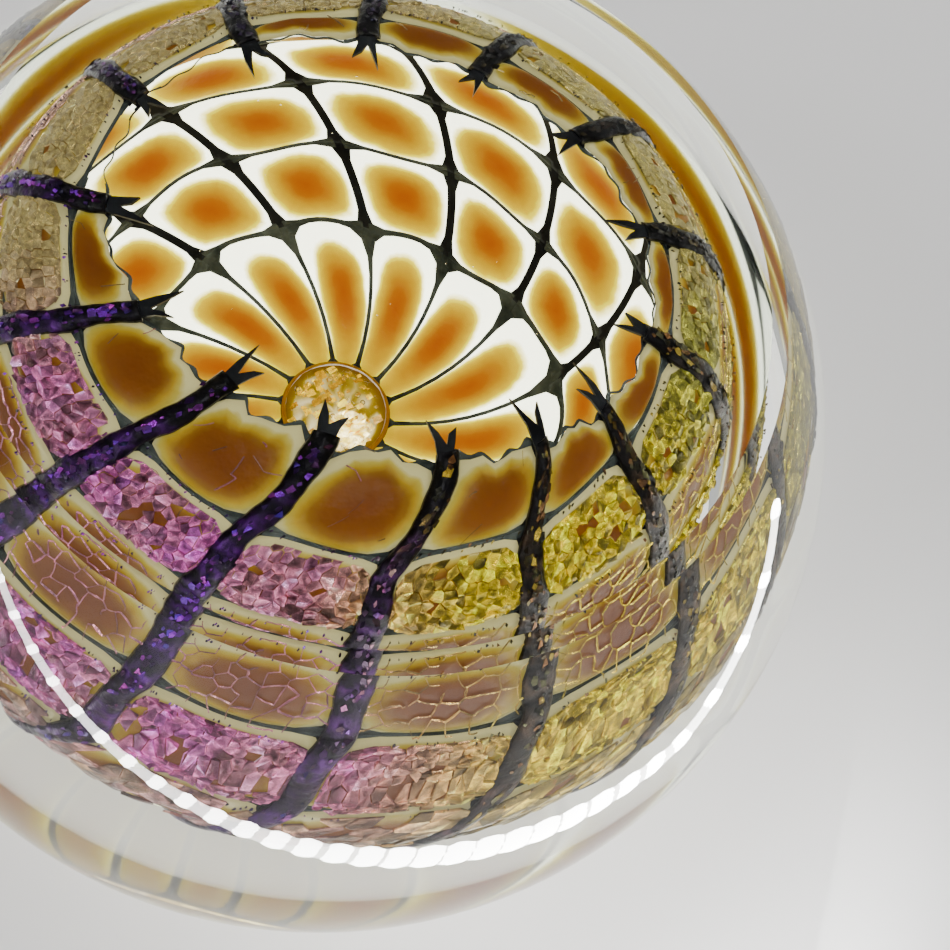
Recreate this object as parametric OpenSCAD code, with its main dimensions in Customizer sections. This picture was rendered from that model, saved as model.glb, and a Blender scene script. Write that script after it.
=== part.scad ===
/* [Glass body] */
// Radius of the round clear body
body_radius = 46; // [44:0.5:48]
// Height of the centre of the body curve above the foot
body_centre = 25; // [24:0.5:26]
// Height of the polished top above the foot
top_height = 57; // [56.5:0.25:58]
// Depth of the slight hollow in the polished top
dish_depth = 1.0; // [0.4:0.1:1.2]
// Width of the polished bevel round the top
lip_bevel = 1.0; // [0.6:0.1:1.6]
// Width of the small bevel round the foot
foot_bevel = 0.8; // [0.4:0.1:1.5]

/* [Colour pot] */
// Widest radius of the colour layer
pot_radius = 31; // [30:0.5:32]
// Height of the widest ring of the colour layer above the foot
pot_centre = 36; // [35:0.25:36]
// Drop from the widest ring to the bottom of the colour layer
pot_depth = 26; // [24:0.5:28]
// Rise from the widest ring to the flat of the shoulder
pot_rise = 19.5; // [18:0.25:19.5]
// Thickness of the coloured glass
layer_thick = 1.4; // [1:0.1:1.8]
// Thickness of the iridescent film on the outside
film_thick = 0.25; // [0.2:0.05:0.3]
// Radius of the torn opening in the shoulder
mouth_radius = 19.8; // [18:0.2:20]
// How far the opening sits off the axis, towards the back
mouth_offset = 3.3; // [0:0.1:3.5]

/* [Cell pattern] */
// Number of spiral columns
columns = 14; // [12:1:16]
// Turn of the spiral for each degree up the lower wall and across the flat shoulder
twist = 0.51; // [0.3:0.01:0.7]
// Turn of the spiral for each degree up the steep wall
steep_twist = 0.12; // [0:0.02:0.3]
// Width of the black spiral ribs
rib_width = 1.5; // [1:0.1:2]
// Width of the thin lines between the petals
petal_line = 0.6; // [0.4:0.1:0.9]
// Width of the dark threads between the rows
thread_width = 0.6; // [0.4:0.1:1]
// Clear margin from the edge of a cell to its amber heart
heart_margin = 1.5; // [1.2:0.1:1.8]

/* [Centre boss] */
// Radius of the clear domed boss in the middle
boss_radius = 5; // [4.6:0.1:5.6]
// Height of the dome above its shoulder
boss_dome = 2.6; // [2.4:0.1:3]
// Number of gold foil flakes in the boss
flake_count = 12; // [6:1:14]

/* [Hidden] */
$fn = 96;
// Angles up the wall from the bottom where one row ends and the next starts
row_edges = [asin(boss_radius / pot_radius), 38, 54.5, 69.5, 86, 97.4, 116, 143, 172];
rows = 8;
film_from = 4;
// Height of the straight side of the boss above the colour layer
boss_side = 1.4;
step = 360 / columns;
big = 200;
top_radius = sqrt(pow(body_radius, 2) - pow(top_height - body_centre, 2));
foot_radius = sqrt(pow(body_radius, 2) - pow(body_centre, 2));
dish_edge = top_radius - lip_bevel;
foot_edge = foot_radius - foot_bevel;
// How far each bevel runs outward for each millimetre of height
lip_slope = 2.5;
foot_slope = 2;
dish_ball = (pow(dish_edge, 2) + pow(dish_depth, 2)) / (2 * dish_depth);

// Power that squares the shoulder: 1 is a plain ellipse, 0.5 a squarish one
shoulder_power = 0.5;
// A point of the wall in its own section: angle up the wall and distance out from the wall
function wall(t, d) = t < 90
    ? [(pot_radius + d) * sin(t), pot_centre - (pot_depth + d) * cos(t)]
    : [
        (pot_radius + d) * pow(sin(t), shoulder_power),
        pot_centre + (pot_rise + d) * pow(-cos(t), shoulder_power)
    ];
// The same point turned to its place round the axis
function spot(t, a, d) = [wall(t, d)[0] * cos(a), wall(t, d)[0] * sin(a), wall(t, d)[1]];
// Outward direction at that point
function slope_at(t) = unit(wall(t + 1, 0) - wall(t - 1, 0));
function outward(t, a) = [slope_at(t)[1] * cos(a), slope_at(t)[1] * sin(a), -slope_at(t)[0]];
function unit(v) = v / norm(v);
// Turn of the spiral from the bottom up to an angle
steep_from = row_edges[4];
steep_to = row_edges[7];
function turn(t) = twist * min(t, steep_from)
    + steep_twist * (min(max(t, steep_from), steep_to) - steep_from)
    + twist * (max(t, steep_to) - steep_to);
// Spiral column k at an angle up the wall
function column_at(k, t) = k * step + turn(t);
// Distance from the axis to the edge of the mouth in direction a
function mouth_reach(a) = mouth_offset * sin(a)
    + sqrt(pow(mouth_radius, 2) - pow(mouth_offset * cos(a), 2));
// Angle up the wall where column k meets the mouth
function mouth_at(k) = 180 - asin(pow(mouth_reach(column_at(k, 155)) / pot_radius,
    1 / shoulder_power));
// Half of the thread width at an edge, as an angle up the wall
function half_thread(t) = thread_width / 2 / norm(wall(t + 0.5, 0) - wall(t - 0.5, 0));
function row_low(i) = row_edges[i - 1] + (i == 1 ? 0 : half_thread(row_edges[i - 1]));
function row_high(i) = row_edges[i] - (i == rows ? 0 : half_thread(row_edges[i]));

// Places children on the wall, x along the spiral, z pointing outward
module on_wall(from, to, base) {
    x = unit(to - from);
    y = unit(cross(base, x));
    z = cross(x, y);
    m = (from + to) / 2;
    multmatrix([
        [x[0], y[0], z[0], m[0]],
        [x[1], y[1], z[1], m[1]],
        [x[2], y[2], z[2], m[2]],
        [0, 0, 0, 1]
    ])
        children();
}

// A ring of the wall between two angles and two distances
module band(t0, t1, d0, d1) {
    n = 2 * round((t1 - t0) / 8) + 1;
    rotate_extrude()
        polygon(concat(
            [for (i = [0:n]) wall(t0 + (t1 - t0) * i / n, d0)],
            [for (i = [n:-1:0]) wall(t0 + (t1 - t0) * i / n, d1)]
        ));
}

// Everything inside the wall at a distance d, from the bottom up to angle t1
module filled(t1, d) {
    n = round(t1 / 6);
    rotate_extrude()
        polygon(concat(
            [for (i = [0:n - 1]) wall(t1 * i / n, d)],
            t1 < 180 ? [wall(t1, d)] : [],
            [[0, wall(t1, d)[1]]]
        ));
}

// The column of space that the torn mouth leaves open
module mouth_space() {
    translate([0, mouth_offset, pot_centre])
        cylinder(h = big, r = mouth_radius);
}

// Slabs that run along the columns through row i
module column_slabs(i, wide) {
    for (k = [0:columns - 1]) {
        t0 = row_edges[i - 1];
        t1 = row_edges[i];
        tm = (t0 + t1) / 2;
        from = spot(t0, column_at(k, t0), -layer_thick / 2);
        to = spot(t1, column_at(k, t1), -layer_thick / 2);
        on_wall(from, to, outward(tm, column_at(k, tm)))
            cube([norm(to - from) + 4, wide, 14], center = true);
    }
}

function slab_width(i) = i == 1 ? petal_line : rib_width;

// Eight sided block, long and wide, that outlines an amber heart
module heart_outline(long, wide) {
    cut = wide * 0.3;
    x = long / 2;
    y = wide / 2;
    linear_extrude(height = 8, center = true)
        polygon([
            [x, y - cut], [x - cut, y], [cut - x, y], [-x, y - cut],
            [-x, cut - y], [cut - x, -y], [x - cut, -y], [x, cut - y]
        ]);
}

// Blocks that cut the amber hearts of row i
module heart_plugs(i) {
    for (k = [0:columns - 1]) {
        t0 = row_edges[i - 1];
        t1 = i == rows ? mouth_at(k + 0.5) : row_edges[i];
        tm = i == 1 ? t0 + (t1 - t0) * 0.6 : (t0 + t1) / 2 - 0.2;
        high = norm(wall(t1, 0) - wall(t0, 0));
        wide = wall(tm, 0)[0] * step * PI / 180;
        margin = min(heart_margin, min(high, wide) * 0.25);
        room = min(high, wide) - 2 * margin;
        far = i == 1 ? high * 0.4 : max(1.2, max(high, wide) - min(high, wide) - 1.4);
        a = column_at(k + 0.5, tm);
        across = [-sin(a), cos(a), 0];
        up = unit(spot(tm + 1, column_at(k + 0.5, tm + 1), 0) - spot(tm, a, 0));
        run = (i == 1 || high > wide) ? up : across;
        p = spot(tm, a, 0);
        if (t1 > t0 && high > 4)
            on_wall(p - run * far / 2, p + run * far / 2, outward(tm, a))
                heart_outline(i == rows ? room : far + room, room);
    }
}

// Coloured glass of row i before it is cut into cells
module row_ring(i) {
    difference() {
        band(row_low(i), row_high(i), -layer_thick, 0);
        if (i == rows)
            mouth_space();
    }
}

module cell_row(i) {
    color([0.97, 0.93, 0.74])
        difference() {
            row_ring(i);
            column_slabs(i, slab_width(i));
            heart_plugs(i);
        }
}

module amber_row(i) {
    color([0.85, 0.47, 0.05])
        intersection() {
            row_ring(i);
            heart_plugs(i);
        }
}

module film_row(i, tone) {
    color(tone)
        difference() {
            band(row_low(i), row_high(i), 0, film_thick);
            if (i == rows)
                mouth_space();
        }
}

// Body of clear glass before anything is set into it
module body_blank() {
    difference() {
        intersection() {
            translate([0, 0, body_centre])
                sphere(r = body_radius, $fn = 128);
            cylinder(h = top_height, r = body_radius + 1);
            cylinder(h = top_height, r1 = dish_edge + top_height * lip_slope, r2 = dish_edge);
            cylinder(h = top_height, r1 = foot_edge, r2 = foot_edge + top_height * foot_slope);
        }
        translate([0, 0, top_height - dish_depth + dish_ball])
            sphere(r = dish_ball, $fn = 128);
    }
}

// Everything that sits inside the casing: clear core, colour layer and film
module pot_solid() {
    filled(180, -layer_thick);
    difference() {
        union() {
            filled(row_edges[film_from - 1], 0);
            difference() {
                filled(180, film_thick);
                translate([0, 0, wall(row_edges[film_from - 1], 0)[1] - big])
                    cylinder(h = big, r = big);
            }
        }
        mouth_space();
    }
}

// Section of the boss: wall below, short straight side, dome above
module boss_blank() {
    base = wall(row_edges[0], 0)[1];
    shoulder = base + boss_side;
    ball = (pow(boss_radius, 2) + pow(boss_dome, 2)) / (2 * boss_dome);
    filled(row_edges[0], 0);
    translate([0, 0, base])
        cylinder(h = shoulder - base, r = boss_radius);
    intersection() {
        translate([0, 0, shoulder + boss_dome - ball])
            sphere(r = ball);
        translate([0, 0, shoulder])
            cylinder(h = boss_dome + 1, r = boss_radius);
    }
}

// One gold flake, turned and tipped by its number
module flake(n) {
    out = (boss_radius - 1.8) * sqrt((n + 0.5) / flake_count);
    base = wall(row_edges[0], 0)[1];
    rise = boss_side - 0.4 + 1.5 * (1 - pow(out / boss_radius, 2)) * (0.55 + 0.45 * sin(n * 97));
    rotate([0, 0, n * 137.5])
        translate([out, 0, base + rise])
            rotate([22 * sin(n * 71), 18 * cos(n * 53), n * 40])
                cube([1.2 - 0.3 * sin(n * 61), 0.8 + 0.2 * cos(n * 83), 0.12], center = true);
}

module clear_casing() {
    color([0.93, 0.96, 0.95, 0.35])
        difference() {
            body_blank();
            pot_solid();
            torn_tip_set();
        }
}

module clear_core() {
    color([0.95, 0.97, 0.96, 0.35])
        difference() {
            filled(180, -layer_thick);
            boss_blank();
        }
}

module centre_boss() {
    color([0.96, 0.86, 0.6, 0.5])
        difference() {
            boss_blank();
            gold_flake_set();
        }
}

module gold_flake_set() {
    for (n = [0:flake_count - 1])
        flake(n);
}

module gold_flakes() {
    color([0.93, 0.72, 0.25])
        gold_flake_set();
}

module petal_lines() {
    color([0.12, 0.14, 0.14])
        intersection() {
            row_ring(1);
            column_slabs(1, petal_line);
        }
}

module spiral_ribs() {
    color([0.05, 0.04, 0.07])
        for (i = [2:rows])
            intersection() {
                row_ring(i);
                column_slabs(i, rib_width);
            }
}

module ring_threads() {
    color([0.08, 0.09, 0.09])
        for (i = [1:rows - 1])
            band(row_low(i + 1) - 2 * half_thread(row_edges[i]), row_low(i + 1),
                -layer_thick, i < film_from ? 0 : film_thick);
}

// Forked points where each rib runs past the torn mouth
module torn_tip_set() {
    for (k = [0:columns - 1]) {
        t = mouth_at(k);
        a = column_at(k, t);
        from = spot(t, a, -layer_thick / 2);
        dir = unit(spot(t + 2, column_at(k, t + 2), 0) - spot(t, a, 0));
        intersection() {
            on_wall(from - dir * 2, from + dir * 2, outward(t, a))
                linear_extrude(height = 0.5, center = true)
                    polygon([[-2, -1.3], [0.4, -0.9], [3.6, -1.5], [1.6, 0],
                        [2.8, 1.6], [0.2, 0.9], [-2, 1.3]]);
            mouth_space();
        }
    }
}

module torn_tips() {
    color([0.07, 0.05, 0.1])
        torn_tip_set();
}

module cells_row_1() { cell_row(1); }
module cells_row_2() { cell_row(2); }
module cells_row_3() { cell_row(3); }
module cells_row_4() { cell_row(4); }
module cells_row_5() { cell_row(5); }
module cells_row_6() { cell_row(6); }
module cells_row_7() { cell_row(7); }
module cells_row_8() { cell_row(8); }
module amber_row_1() { amber_row(1); }
module amber_row_2() { amber_row(2); }
module amber_row_3() { amber_row(3); }
module amber_row_4() { amber_row(4); }
module amber_row_5() { amber_row(5); }
module amber_row_6() { amber_row(6); }
module amber_row_7() { amber_row(7); }
module amber_row_8() { amber_row(8); }
module film_row_4() { film_row(4, [0.45, 0.47, 0.38]); }
module film_row_5() { film_row(5, [0.52, 0.50, 0.33]); }
module film_row_6() { film_row(6, [0.72, 0.48, 0.62]); }
module film_row_7() { film_row(7, [0.80, 0.50, 0.66]); }
module film_row_8() { film_row(8, [0.74, 0.56, 0.40]); }

clear_casing();
clear_core();
centre_boss();
gold_flakes();
cells_row_1();
cells_row_2();
cells_row_3();
cells_row_4();
cells_row_5();
cells_row_6();
cells_row_7();
cells_row_8();
amber_row_1();
amber_row_2();
amber_row_3();
amber_row_4();
amber_row_5();
amber_row_6();
amber_row_7();
amber_row_8();
film_row_4();
film_row_5();
film_row_6();
film_row_7();
film_row_8();
petal_lines();
spiral_ribs();
ring_threads();
torn_tips();
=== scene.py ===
import random
from math import asin, atan2, cos, degrees, exp, hypot, pi, radians, sin, sqrt

import bpy
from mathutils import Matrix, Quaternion, Vector


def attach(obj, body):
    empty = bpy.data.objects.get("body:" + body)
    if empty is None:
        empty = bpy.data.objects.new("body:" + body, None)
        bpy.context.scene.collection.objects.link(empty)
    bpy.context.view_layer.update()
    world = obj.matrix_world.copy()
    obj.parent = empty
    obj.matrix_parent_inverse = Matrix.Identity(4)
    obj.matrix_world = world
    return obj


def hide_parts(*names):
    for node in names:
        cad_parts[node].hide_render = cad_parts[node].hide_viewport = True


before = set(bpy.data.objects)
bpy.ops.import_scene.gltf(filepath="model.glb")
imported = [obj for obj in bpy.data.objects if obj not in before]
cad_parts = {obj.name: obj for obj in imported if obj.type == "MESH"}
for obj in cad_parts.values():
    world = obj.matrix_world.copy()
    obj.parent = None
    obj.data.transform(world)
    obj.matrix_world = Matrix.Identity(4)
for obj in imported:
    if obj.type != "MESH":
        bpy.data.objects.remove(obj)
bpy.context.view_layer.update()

# ---------------------------------------------------------------- the shape, in millimetres and degrees
MM = 0.001
BODY_R = 45.97
BODY_Z = 25.0
TOP_Z = 57.0
DISH = 1.0
LIP = 1.0
LIP_ROUND = 0.65
FOOT_BEVEL = 0.8
FOOT_ROUND = 0.75
POT_R = 31.0
POT_Z = 36.0
POT_DROP = 26.0
POT_RISE = 19.5
SWELL = 1.4
SWELL_AT = 78
NEAR_SWELL = 2.4
NEAR_SWELL_AT = 76
NEAR_AZ = 280
NEAR_REACH = 65
SWELL_REACH = 22
LAYER = 1.4
BOSS_R = 5.0
BOSS_DOME = 2.9
BOSS_SEAT = 1.0
COLUMNS = 14
STEP = 360 / COLUMNS
RING_ANGLES = (degrees(asin(BOSS_R / POT_R)), 38, 54.5, 69.5, 86, 97.4, 116, 143)
ROWS = 8
FILM_FROM = 4
CRUMPLED_ROWS = (5, 7)
LINED_ROW = 6
RIB_HALF = 0.46
LINE_HALF = 0.2
THREAD_HALF = 0.2
BOSS_GAP = 0.35
PAD_EDGE_DROP = 0.62
NET_INNER = 0.84
RIB_DEPTH = -0.64
LINE_DEPTH = -0.66
STRAND_FROM = 40
SHARD_LIFT = 0.5
RING_TUBE = 0.3

# ---------------------------------------------------------------- view and light, in metres; the lens in mm
# Strength of the painted backlight: emission in the cells, not a lamp.
PAINTED_BACKLIGHT = 4.2
FRONT_AZ = 270
BACK_CALM_AZ = 290
ELEVATION = radians(64)
DISTANCE = 0.165
ROLL = radians(17)
LENS = 65.92
AIM = (-0.08335, 0.02587, -1)
FLOOR_HALF = 1.2
FLOOR_Z = -0.0002
LAMP_COUNT = 60
LAMP_FIRST = -141
LAMP_SWEEP = 160
LAMP_GAP = 0.048
LAMP_WHITE = (1.0, 0.99, 0.97)


def bump(x, centre, width):
    """A smooth hill of height 1."""
    return exp(-(((x - centre) / width) ** 2))


def turned(az, centre):
    """Degrees from centre to az, the short way round."""
    return (az - centre + 180) % 360 - 180


def smooth(x, a, b):
    """0 below a, 1 above b, and a soft step between."""
    x = min(1, max(0, (x - a) / (b - a)))
    return x * x * (3 - 2 * x)


def mix(a, b, f):
    """Colour at fraction f of the way from a to b."""
    return tuple(x + (y - x) * f for x, y in zip(a, b))


def scaled(colour, f):
    """A colour made brighter or darker, kept within range."""
    return tuple(min(1, c * f) for c in colour)


def wall(t):
    """Radius and height of the colour layer at an angle up the wall."""
    s, c = sin(radians(t)), cos(radians(t))
    swell = SWELL * bump(t, SWELL_AT, SWELL_REACH)
    if t < 90:
        return POT_R * s + swell, POT_Z - POT_DROP * c
    return POT_R * sqrt(max(s, 0)) + swell, POT_Z + POT_RISE * sqrt(max(-c, 0))


def outward(t):
    """Radial and vertical part of the direction out of the wall."""
    r0, z0 = wall(t - 0.5)
    r1, z1 = wall(t + 0.5)
    n = hypot(r1 - r0, z1 - z0)
    return (z1 - z0) / n, -(r1 - r0) / n


def turn(t, u):
    """Degrees that the spiral has turned at angle t. The front ribs sweep further round at the mouth."""
    lower = 0.54 * min(t, 86)
    steep = 0.36 * (min(max(t, 86), 97.4) - 86)
    upper = 0.1 * max(t - 97.4, 0)
    near = bump((u - 9.6 + COLUMNS / 2) % COLUMNS - COLUMNS / 2, 0, 1.6)
    return lower + steep + upper + 17 * near * smooth(t, 135, 168)


def azimuth(u, t):
    """Degrees round the axis of column u at angle t."""
    return u * STEP + turn(t, u)


def place(u, t, d):
    """Point of the wall at column u, angle t and d out from the wall, in metres."""
    r, z = wall(t)
    nr, nz = outward(t)
    az = azimuth(u, t)
    a = radians(az)
    near = bump(t, NEAR_SWELL_AT, SWELL_REACH) * bump(turned(az, NEAR_AZ), 0, NEAR_REACH)
    r += nr * d + NEAR_SWELL * near
    return Vector((r * cos(a), r * sin(a), z + nz * d)) * MM


def mouth_radius(az):
    """Radius of the torn mouth, an uneven ring set off the axis."""
    a = radians(az)
    return 20.5 - 0.2 * cos(a) + 3.6 * sin(a) + 1.75 * cos(2 * a) - 0.4 * sin(2 * a) + 0.5 * sin(3 * a)


def mouth_angle(u):
    """Angle up the wall where column u meets the torn mouth."""
    r = mouth_radius(azimuth(u, 158))
    return 180 - degrees(asin((r / POT_R) ** 2))


def edge(i, u):
    """Angle up the wall of the edge above row i, at column u. No row lines up perfectly."""
    if i == ROWS:
        return mouth_angle(u) + 0.9 * sin(u * 9.1) + 0.6 * sin(u * 23.7)
    t = RING_ANGLES[i]
    az = azimuth(u, t)
    if i:
        t += 0.55 * sin(u * 5.1 + i * 2.3)
    if i == 1:
        t += 6 * bump(turned(az, 20), 0, 32)
    if i == 7:
        t -= 6 * smooth(sin(radians(az)), -0.4, 1)
    return t


def at(i, u, f):
    """Angle up the wall at fraction f of row i."""
    low, high = edge(i - 1, u), edge(i, u)
    return low + (high - low) * f


def per_column(t):
    """Columns in one millimetre across the wall."""
    return 1 / (wall(t)[0] * radians(STEP))


def per_degree(t, least):
    """Degrees in one millimetre up the wall."""
    return 1 / max(least, hypot(*(b - a for a, b in zip(wall(t - 0.5), wall(t + 0.5)))))


def arc_length(t0, t1):
    """Millimetres up the wall between two angles."""
    n = 8
    total = 0
    for k in range(n):
        a, b = wall(t0 + (t1 - t0) * k / n), wall(t0 + (t1 - t0) * (k + 1) / n)
        total += hypot(b[0] - a[0], b[1] - a[1])
    return total


class Cell:
    """One cell of the layer. p runs across and q up it, both from -1 to 1 inside its own rim."""

    def __init__(self, i, k):
        self.i, self.k = i, k
        uc = k + 0.5
        self.low, self.high = edge(i - 1, uc), edge(i, uc)
        self.tall = arc_length(self.low, self.high) if self.high > self.low else 0
        mid = (self.low + self.high) / 2
        self.wide = wall(mid)[0] * radians(STEP)
        self.az = azimuth(uc, mid) % 360
        self.q_gap = 2 * (THREAD_HALF if 1 < i else BOSS_GAP) / max(self.tall, 0.1)

    def spot(self, p, q, d):
        """Point of the wall at p across and q up the cell, d millimetres out."""
        f = 0.5 + 0.5 * q * (1 - self.q_gap)
        uc = self.k + 0.5
        t = at(self.i, uc, f)
        half = LINE_HALF if self.i == 1 else RIB_HALF
        gap = half * per_column(t)
        u = uc + 0.5 * p * (1 - 2 * gap)
        return place(u, at(self.i, u, f), d)


def rim(i, y=1):
    """Power of the rounded outline of a cell: 2 is an ellipse, higher is squarer.

    Petals are square at the end that meets the boss, where y is negative.
    """
    if i == 1:
        return 4.6 if y > 0 else 14
    return 8 if i < FILM_FROM else 5.5


def outline(i, spokes):
    """Points of the rounded outline of a cell in row i, from -1 to 1."""
    points = []
    for s in range(spokes):
        a = 2 * pi * (s + 0.5) / spokes
        x, y = cos(a), sin(a)
        power = rim(i, y)
        grow = (abs(x) ** power + abs(y) ** power) ** (-1 / power)
        points.append((x * grow, y * grow))
    return points


# ---------------------------------------------------------------- building meshes
def build(name, verts, faces, material, smooth_faces=True, nodes=(), values=None, tints=None):
    """One piece of the object: its mesh, its data, its material and the CAD nodes it stands for."""
    mesh = bpy.data.meshes.new(name)
    mesh.from_pydata([tuple(v) for v in verts], [], faces)
    mesh.polygons.foreach_set("use_smooth", [smooth_faces] * len(mesh.polygons))
    for key, data in (values or {}).items():
        mesh.attributes.new(key, "FLOAT", "POINT").data.foreach_set("value", data)
    if tints:
        layer = mesh.attributes.new("tint", "FLOAT_COLOR", "POINT")
        layer.data.foreach_set("color", [c for t in tints for c in (*t, 1)])
    mesh.materials.append(material)
    obj = bpy.data.objects.new(name, mesh)
    bpy.context.scene.collection.objects.link(obj)
    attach(obj, "root")
    if nodes:
        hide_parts(*nodes)
    return obj


class Soup:
    """Vertices, faces and per-vertex data gathered from many small shapes."""

    def __init__(self):
        self.verts, self.faces, self.tints = [], [], []
        self.values = {}

    def add(self, verts, faces, tint=None, **values):
        base = len(self.verts)
        self.verts += verts
        self.faces += [tuple(base + v for v in f) for f in faces]
        if tint:
            self.tints += tint if isinstance(tint, list) else [tint] * len(verts)
        for key, data in values.items():
            self.values.setdefault(key, []).extend(data)


# ---------------------------------------------------------------- materials
def material(name):
    mat = bpy.data.materials.new(name)
    mat.use_nodes = True
    tree = mat.node_tree
    tree.nodes.clear()
    out = tree.nodes.new("ShaderNodeOutputMaterial")
    return mat, tree, out


def node(tree, kind, **inputs):
    """A shader node with each input set to a value or linked to a socket."""
    n = tree.nodes.new(kind)
    for key, value in inputs.items():
        socket = n.inputs[key.replace("_", " ")]
        if isinstance(value, bpy.types.NodeSocket):
            tree.links.new(value, socket)
        else:
            socket.default_value = value
    return n


def noise(tree, scale, detail):
    coords = tree.nodes.new("ShaderNodeTexCoord").outputs["Object"]
    return node(tree, "ShaderNodeTexNoise", Vector=coords, Scale=scale, Detail=detail, Roughness=0.55)


def ramp(tree, factor, stops):
    n = tree.nodes.new("ShaderNodeValToRGB")
    tree.links.new(factor, n.inputs["Fac"])
    while len(n.color_ramp.elements) < len(stops):
        n.color_ramp.elements.new(0.5)
    for element, (position, colour) in zip(n.color_ramp.elements, stops):
        element.position = position
        element.color = (*colour, 1)
    return n.outputs["Color"]


def attribute(tree, name):
    n = tree.nodes.new("ShaderNodeAttribute")
    n.attribute_name = name
    return n


def maths(tree, operation, a, b):
    """The output of a maths node on two values or sockets."""
    n = tree.nodes.new("ShaderNodeMath")
    n.operation = operation
    for socket, value in zip(n.inputs, (a, b)):
        if isinstance(value, bpy.types.NodeSocket):
            tree.links.new(value, socket)
        else:
            socket.default_value = value
    return n.outputs[0]


def blend_colour(tree, factor, a, b, kind="MIX"):
    n = tree.nodes.new("ShaderNodeMix")
    n.data_type = "RGBA"
    n.blend_type = kind
    for socket, value in ((n.inputs[0], factor), (n.inputs[6], a), (n.inputs[7], b)):
        if isinstance(value, bpy.types.NodeSocket):
            tree.links.new(value, socket)
        else:
            socket.default_value = value if isinstance(value, float) else (*value, 1)
    return n.outputs[2]


def bumped(tree, height, strength, distance):
    return node(tree, "ShaderNodeBump", Strength=strength, Distance=distance, Height=height).outputs[0]


def glass(name, ior, tint, rough=0.0):
    """Clear glass that lets lamps shine straight through to what is inside it."""
    mat, tree, out = material(name)
    glassy = node(tree, "ShaderNodeBsdfGlass", IOR=ior, Roughness=rough, Color=(*tint, 1))
    clear = node(tree, "ShaderNodeBsdfTransparent", Color=(1, 1, 1, 1))
    path = tree.nodes.new("ShaderNodeLightPath")
    both = tree.nodes.new("ShaderNodeMixShader")
    tree.links.new(path.outputs["Is Shadow Ray"], both.inputs[0])
    tree.links.new(glassy.outputs[0], both.inputs[1])
    tree.links.new(clear.outputs[0], both.inputs[2])
    tree.links.new(both.outputs[0], out.inputs["Surface"])
    return mat


def cell_glass():
    """Amber hearts that fade through yellow to a milky white rim. The light from behind is painted: the
    colour glows by emission, as a painted lit copy or a darker painted shaded copy.
    """
    mat, tree, out = material("cell_glass")
    blotch = noise(tree, 170, 3)
    streak = noise(tree, 900, 2)
    rho = attribute(tree, "rho").outputs["Fac"]
    wander = maths(tree, "MULTIPLY", maths(tree, "SUBTRACT", blotch.outputs["Fac"], 0.5), 0.34)
    grain = maths(tree, "MULTIPLY", maths(tree, "SUBTRACT", streak.outputs["Fac"], 0.5), 0.1)
    factor = maths(tree, "ADD", rho, maths(tree, "ADD", wander, grain))
    # Painted lit colour: the cell's amber to white colour as if lit from behind.
    lit = ramp(tree, factor, (
        (0.0, (0.094, 0.020, 0.0)),
        (0.20, (0.106, 0.030, 0.0)),
        (0.36, (0.13, 0.056, 0.0)),
        (0.52, (0.16, 0.090, 0.0)),
        (0.70, (0.21, 0.145, 0.0)),
        (0.80, (0.34, 0.28, 0.01)),
        (0.88, (0.62, 0.58, 0.26)),
        (0.97, (0.84, 0.87, 0.72)),
    ))
    # Painted shaded colour: the same cell darker, as if in shade, for outer faces under the film.
    shaded = ramp(tree, factor, (
        (0.0, (0.044, 0.0112, 0.0008)),
        (0.42, (0.052, 0.016, 0.001)),
        (0.58, (0.066, 0.029, 0.002)),
        (0.74, (0.12, 0.075, 0.004)),
        (0.88, (0.15, 0.12, 0.015)),
        (1.0, (0.20, 0.18, 0.08)),
    ))
    # The side mask picks the painted lit copy (0) or the painted shaded copy (1); the next attribute is the
    # strength of the painted emission.
    side = attribute(tree, "side").outputs["Fac"]
    glow = attribute(tree, "glow").outputs["Fac"]
    colour = blend_colour(tree, side, lit, shaded)
    shader = node(tree, "ShaderNodeBsdfPrincipled", Base_Color=colour, Emission_Color=colour,
                  Roughness=0.3, Specular_IOR_Level=0.08)
    # Painted backlight: emission makes the cells bright as if lit from behind, though they are no lamp.
    tree.links.new(maths(tree, "MULTIPLY", glow, PAINTED_BACKLIGHT), shader.inputs["Emission Strength"])
    tree.links.new(bumped(tree, streak.outputs["Fac"], 0.25, 0.0003), shader.inputs["Normal"])
    tree.links.new(shader.outputs[0], out.inputs["Surface"])
    return mat


def dark_glass(name, low, high, scale):
    """Nearly black glass, mottled between two shades."""
    mat, tree, out = material(name)
    spots = noise(tree, scale, 4)
    colour = ramp(tree, spots.outputs["Fac"], ((0.3, low), (0.7, high)))
    shader = node(tree, "ShaderNodeBsdfPrincipled", Base_Color=colour,
                  Roughness=0.3, Specular_IOR_Level=0.04)
    tree.links.new(bumped(tree, spots.outputs["Fac"], 0.5, 0.0004), shader.inputs["Normal"])
    tree.links.new(shader.outputs[0], out.inputs["Surface"])
    return mat


def foil(name, metal, rough, glow, scale=1400.0, dark=(0.55, 0.52, 0.55)):
    """Thin metallic film whose colour is carried by the mesh. It also glows by emission, painted light,
    though it is no lamp.
    """
    mat, tree, out = material(name)
    tint = attribute(tree, "tint").outputs["Color"]
    fine = noise(tree, scale, 3)
    deep = ramp(tree, fine.outputs["Fac"], ((0.36, dark), (0.62, (1.0, 1.0, 1.0))))
    colour = blend_colour(tree, 1.0, tint, deep, "MULTIPLY")
    shader = node(tree, "ShaderNodeBsdfPrincipled", Base_Color=colour, Emission_Color=colour,
                  Metallic=metal, Roughness=rough, Emission_Strength=glow)
    tree.links.new(bumped(tree, fine.outputs["Fac"], 0.5, 0.0004), shader.inputs["Normal"])
    tree.links.new(shader.outputs[0], out.inputs["Surface"])
    return mat


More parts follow.
